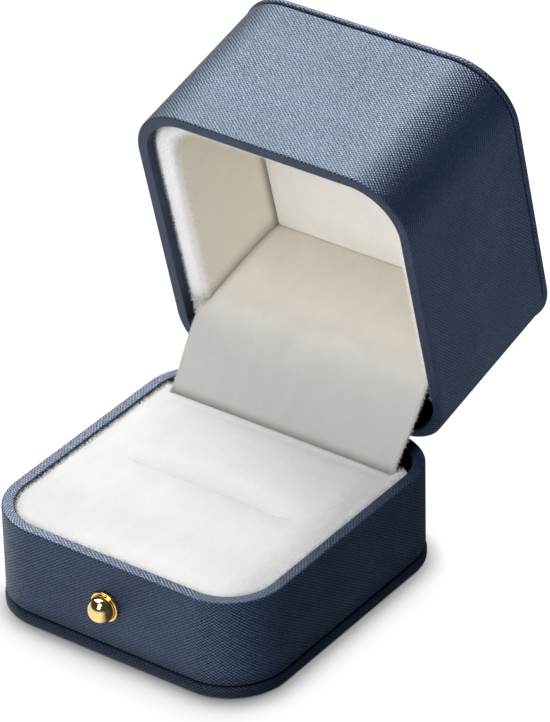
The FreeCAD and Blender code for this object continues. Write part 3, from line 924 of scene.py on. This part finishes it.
def addPile(name, source, weightAt, finish, look):
    # loose fibres as a piece of their own, where weightAt of a point and normal is above 0
    mesh = source.data.copy()
    layer = mesh.attributes.new("edge", "FLOAT", "POINT")
    layer.data.foreach_set("value", [weightAt(v.co, v.normal) for v in mesh.vertices])
    obj = bpy.data.objects.new(name, mesh)
    scene.collection.objects.link(obj)
    grown = obj.modifiers.new("pile", "NODES")
    grown.node_group = pileNodes(finish)
    for item in grown.node_group.interface.items_tree:
        if item.in_out == "INPUT" and item.name in look:
            grown[item.identifier] = look[item.name]
    applied(obj)
    obj.data.materials.clear()
    obj.data.materials.append(finish)
    print(name, len(obj.data.polygons), "faces")
    return obj


def cushionFringe(p, n):
    behindFlap = p.y > velvetHigh.y - 1 * mm and abs(p.x) < cushionLook["flapHalf"]
    if behindFlap or p.z < velvetHigh.z - 1.8 * mm:
        return 0.0
    return 1.0 - smoothstep(0.5 * mm, 1.6 * mm, cushionEdge(p.x, p.y))


def liningFringe(p, n):
    shut = closeUp @ p
    if shut.z > liningLow.z + 2.6 * mm:
        return 0.0
    return smoothstep(-0.2, 0.5, -(closeUp.to_3x3() @ n).z)


def flapFringe(p, n):
    half = flapHalf(p.yz)
    return smoothstep(half - 0.4 * mm, half, abs(p.x)) if p.z > velvetHigh.z - 1 * mm else 0.0


pileLooks = {
    "cushionPile": {"Density": 3.8e7, "Length": 1.0 * mm, "Seed": 3},
    "liningPile": {"Density": 2.2e7, "Length": 0.8 * mm, "Seed": 5},
    "flapPile": {"Density": 2.5e7, "Length": 0.45 * mm, "Seed": 7},
}
cushionPile = addPile("cushionPile", cushion, cushionFringe, velvetTips, pileLooks["cushionPile"])
liningPile = addPile("liningPile", lining, liningFringe, velvetTips, pileLooks["liningPile"])
flapPile = addPile("flapPile", flap, flapFringe, velvetTips, pileLooks["flapPile"])
print("fibres made")


# ---- gilt stud


def lathe(name, profile, at, finish, steps=64):
    # a side outline, given as radius and reach, turned about the front's outward direction
    points, faces = [], []
    n = len(profile)
    for i in range(steps):
        turn = 2 * math.pi * i / steps
        for radius, reach in profile:
            points.append((at.x + radius * math.cos(turn), at.y - reach, at.z + radius * math.sin(turn)))
    for i in range(steps):
        for j in range(n - 1):
            i1 = (i + 1) % steps
            faces.append((i * n + j, i1 * n + j, i1 * n + j + 1, i * n + j + 1))
    return closeUpMesh(addMesh(name, points, faces, finish))


studAt = Vector(((collarLow.x + collarHigh.x) / 2, wallLow.y, (collarLow.z + collarHigh.z) / 2))
studLook = {
    "ball": (ballHigh.x - ballLow.x) / 2, "shank": 0.9 * mm, "shankDepth": 1.5 * mm,
    "collar": (collarHigh.x - collarLow.x) / 2, "collarHigh": 0.9 * mm, "collarRound": 0.22 * mm, "cupGap": 0.05 * mm,
}
ballOut = studAt.y - ballLow.y - studLook["ball"]
ballBack = math.degrees(math.asin((0.1 * mm - ballOut) / studLook["ball"]))
ballSide = [(0, -studLook["shankDepth"]), (studLook["shank"], -studLook["shankDepth"]), (studLook["shank"], 0.1 * mm)]
ballSide += arc((0, ballOut), studLook["ball"], ballBack, 90, 36)
studBall = lathe("studBall", ballSide, studAt, gold)
cup = studLook["ball"] + studLook["cupGap"]
cupLow = math.degrees(math.asin(-ballOut / cup))
cupHigh = math.degrees(math.asin((studLook["collarHigh"] - ballOut) / cup))
collarSide = arc((0, ballOut), cup, cupLow, cupHigh, 8)
rounded = studLook["collarRound"]
collarSide += arc((studLook["collar"] - rounded, studLook["collarHigh"] - rounded), rounded, 90, 0, 6)
collarSide += [(studLook["collar"], 0.0), collarSide[0]]
studCollar = lathe("studCollar", collarSide, studAt, gold)


# ---- bodies, hidden frame parts and finishes for the carried ones

made = [
    (baseWall, "base", "covering", ["base_wall_wrap"]),
    (basePlate, "base", "covering", ["base_plate_wrap"]),
    (cushion, "base", "velvet", ["cushion_velvet", "cushion_foam"]),
    (cushionPile, "base", "velvet", []),
    (studBall, "base", "gilt", ["stud_ball"]),
    (studCollar, "base", "gilt", ["stud_collar"]),
    (lidWall, "lid", "covering", ["lid_wall_wrap"]),
    (lidPlate, "lid", "covering", ["lid_plate_wrap"]),
    (lining, "lid", "velvet", ["lid_lining_velvet"]),
    (liningPile, "lid", "velvet", []),
    (ceiling, "lid", "velvet", ["lid_ceiling_velvet", "lid_ceiling_foam"]),
]
for obj, body, slotName, nodes in made:
    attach(obj, body)
    if nodes:
        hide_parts(*nodes)
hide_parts("hinge_flap", "lid_panel_pad")
for obj in (flap, flapPile):
    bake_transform(obj)

carried = [
    (tray, ["base_tray", "lid_shell"]),
    (board, ["base_plate_board", "lid_plate_board", "cushion_card", "lid_lining_card", "lid_panel_card"]),
    (steel, ["base_hinge_leaf", "lid_hinge_leaf", "hinge_pin", "hinge_snap_spring", "stud_washer"]),
    (steel, ["base_rivet_left", "base_rivet_right", "lid_rivet_left", "lid_rivet_right"]),
]
for finish, nodes in carried:
    for node in nodes:
        mesh = frame["nodes"][node].data
        mesh.materials.clear()
        mesh.materials.append(finish)
print("bodies joined")


# ---- camera, floor and light


def addCamera():
    look = {
        "azimuth": 36.445, "elevation": 32.394, "roll": -1.367,
        "distance": 0.80959, "target": (0.015378, -0.002755, 0.049914), "lens": 245.95,
    }
    az, el, roll = (math.radians(look[k]) for k in ("azimuth", "elevation", "roll"))
    back = Vector((math.sin(az) * math.cos(el), -math.cos(az) * math.cos(el), math.sin(el)))
    level = (-back).cross(Vector((0, 0, 1))).normalized()
    upright = level.cross(-back)
    right = level * math.cos(roll) + upright * math.sin(roll)
    up = upright * math.cos(roll) - level * math.sin(roll)
    data = bpy.data.cameras.new("camera")
    data.lens = look["lens"]
    data.sensor_width = 36
    data.clip_start = 0.01
    data.clip_end = 50
    obj = bpy.data.objects.new("camera", data)
    scene.collection.objects.link(obj)
    place = Matrix((right, up, back)).transposed().to_4x4()
    place.translation = Vector(look["target"]) + back * look["distance"]
    obj.matrix_world = place
    scene.camera = obj


def addPanel(name, look):
    # a soft rectangular light; toward is the direction it stands in, glow its brightness and only, where
    # it is given, the kind of surface that it lights
    data = bpy.data.lights.new(name, "AREA")
    data.shape = "RECTANGLE"
    data.size, data.size_y = look["size"]
    data.energy = look["glow"] * math.pi * look["size"][0] * look["size"][1]
    data.color = look["colour"]
    obj = bpy.data.objects.new(name, data)
    scene.collection.objects.link(obj)
    toward = Vector(look["toward"]).normalized()
    obj.location = Vector((0, 0, 0.03)) + toward * look["distance"]
    obj.rotation_euler = toward.to_track_quat("Z", "Y").to_euler()
    obj.visible_glossy = look.get("only") != "matt"
    obj.visible_diffuse = look.get("only") != "shiny"
    return obj


addCamera()

lamps = {
    "overhead": {
        "toward": (-0.5, 0.45, 0.75), "distance": 0.9, "size": (0.84, 0.74),
        "glow": 3.6, "colour": (1.0, 0.995, 0.985), "only": "matt",
    },
    "gleam": {
        "toward": (-0.43, 0.34, 0.81), "distance": 0.8, "size": (0.78, 0.78),
        "glow": 12.0, "colour": (0.97, 0.985, 1.0), "only": "shiny",
    },
    "inside": {
        "toward": (0.55, -0.62, 0.55), "distance": 0.6, "size": (0.3, 0.3),
        "glow": 0.7, "colour": (1.0, 0.99, 0.98), "only": "matt",
    },
    "side": {
        "toward": (0.85, 0.1, -0.5), "distance": 0.8, "size": (0.6, 0.4),
        "glow": 6.0, "colour": (0.85, 0.93, 1.0), "only": "matt",
    },
    "low": {
        "toward": (0.5, 0.68, -0.5), "distance": 0.8, "size": (0.8, 0.7),
        "glow": 0.4, "colour": (0.85, 0.93, 1.0), "only": "shiny",
    },
    "rim": {
        "toward": (-0.5, 0.68, 0.54), "distance": 0.55, "size": (0.4, 0.3),
        "glow": 11.0, "colour": (0.96, 0.95, 1.0), "only": "shiny",
    },
    "brim": {
        "toward": (0.95, -0.3, 0.1), "distance": 0.5, "size": (0.2, 0.2),
        "glow": 6.0, "colour": (1.0, 1.0, 1.0), "only": "matt",
    },
    "strip": {
        "toward": (0.12, -0.62, 0.78), "distance": 0.9, "size": (0.35, 0.7),
        "glow": 9.0, "colour": (0.97, 0.985, 1.0),
    },
}
panels = {name: addPanel(name, look) for name, look in lamps.items()}

floorFinish = Finish("floor")
floorTone = floorFinish.mix(floorFinish.noise(floorFinish.place(), 3.0), (0.59, 0.59, 0.59), (0.61, 0.61, 0.61))
floorFinish.set(Base_Color=floorTone, Roughness=0.9, Emission_Color=floorTone, Emission_Strength=0.04)
floor = addMesh("floor", [(-6, -6, 0), (6, -6, 0), (6, 6, 0), (-6, 6, 0)], [(0, 1, 2, 3)], floorFinish.material)
floor.visible_diffuse = False
floor.visible_glossy = False
floor.visible_shadow = False

# the floor has two lamps of its own, shaded only by the base, and the others leave it alone
floorLamps = {
    "wash": {
        "toward": (-0.065, 0.06, 0.99), "distance": 1.0, "size": (0.25, 0.25),
        "glow": 51.5, "colour": (1, 1, 1),
    },
    "haze": {
        "toward": (-0.12, 0.24, 0.95), "distance": 1.0, "size": (0.9, 0.9),
        "glow": 4.3, "colour": (1, 1, 1),
    },
}


def grouped(name, *objects):
    # a collection that lamps can be told to light, leave out or be shaded by
    group = bpy.data.collections.new(name)
    for obj in objects:
        group.objects.link(obj)
    return group


floorOnly = grouped("floorOnly", floor)
baseCovering = grouped("baseCovering", baseWall, basePlate)
for name, look in floorLamps.items():
    panel = addPanel(name, look)
    panel.light_linking.receiver_collection = floorOnly
    panel.light_linking.blocker_collection = baseCovering
notFloor = grouped("notFloor", floor)
notFloor.collection_objects[0].light_linking.link_state = "EXCLUDE"
lidCovering = grouped("lidCovering", lidWall, lidPlate)
reached = {
    "inside": grouped("lidVelvet", lining, ceiling), "brim": grouped("cushionVelvet", cushion, cushionPile),
    "side": lidCovering, "low": lidCovering, "rim": baseCovering,
}
for name, panel in panels.items():
    panel.light_linking.receiver_collection = reached.get(name, notFloor)

# the room: bright low down in front, fair low down behind on the right, dim above
world = bpy.data.worlds.new("room")
scene.world = world
world.use_nodes = True
room = Nodes(world.node_tree)
x, y, z = room.split(room.add("ShaderNodeTexCoord", {}, {}))
lowDown = 1 - room.ramp(z, 0.0, 0.35)
frontLeft = room.ramp(x * -0.65 + y * -0.76, -0.45, 0.3)
behindRight = room.ramp(x * 0.59 + y * 0.81, 0.4, 0.85)
dim = room.mix(lowDown * behindRight, (0.06, 0.065, 0.075), (0.15, 0.17, 0.20))
background = world.node_tree.nodes["Background"].inputs
room.join(room.mix(lowDown * frontLeft, dim, (1.15, 1.16, 1.19)), background["Color"])
background["Strength"].default_value = 1.0
print("stage set")
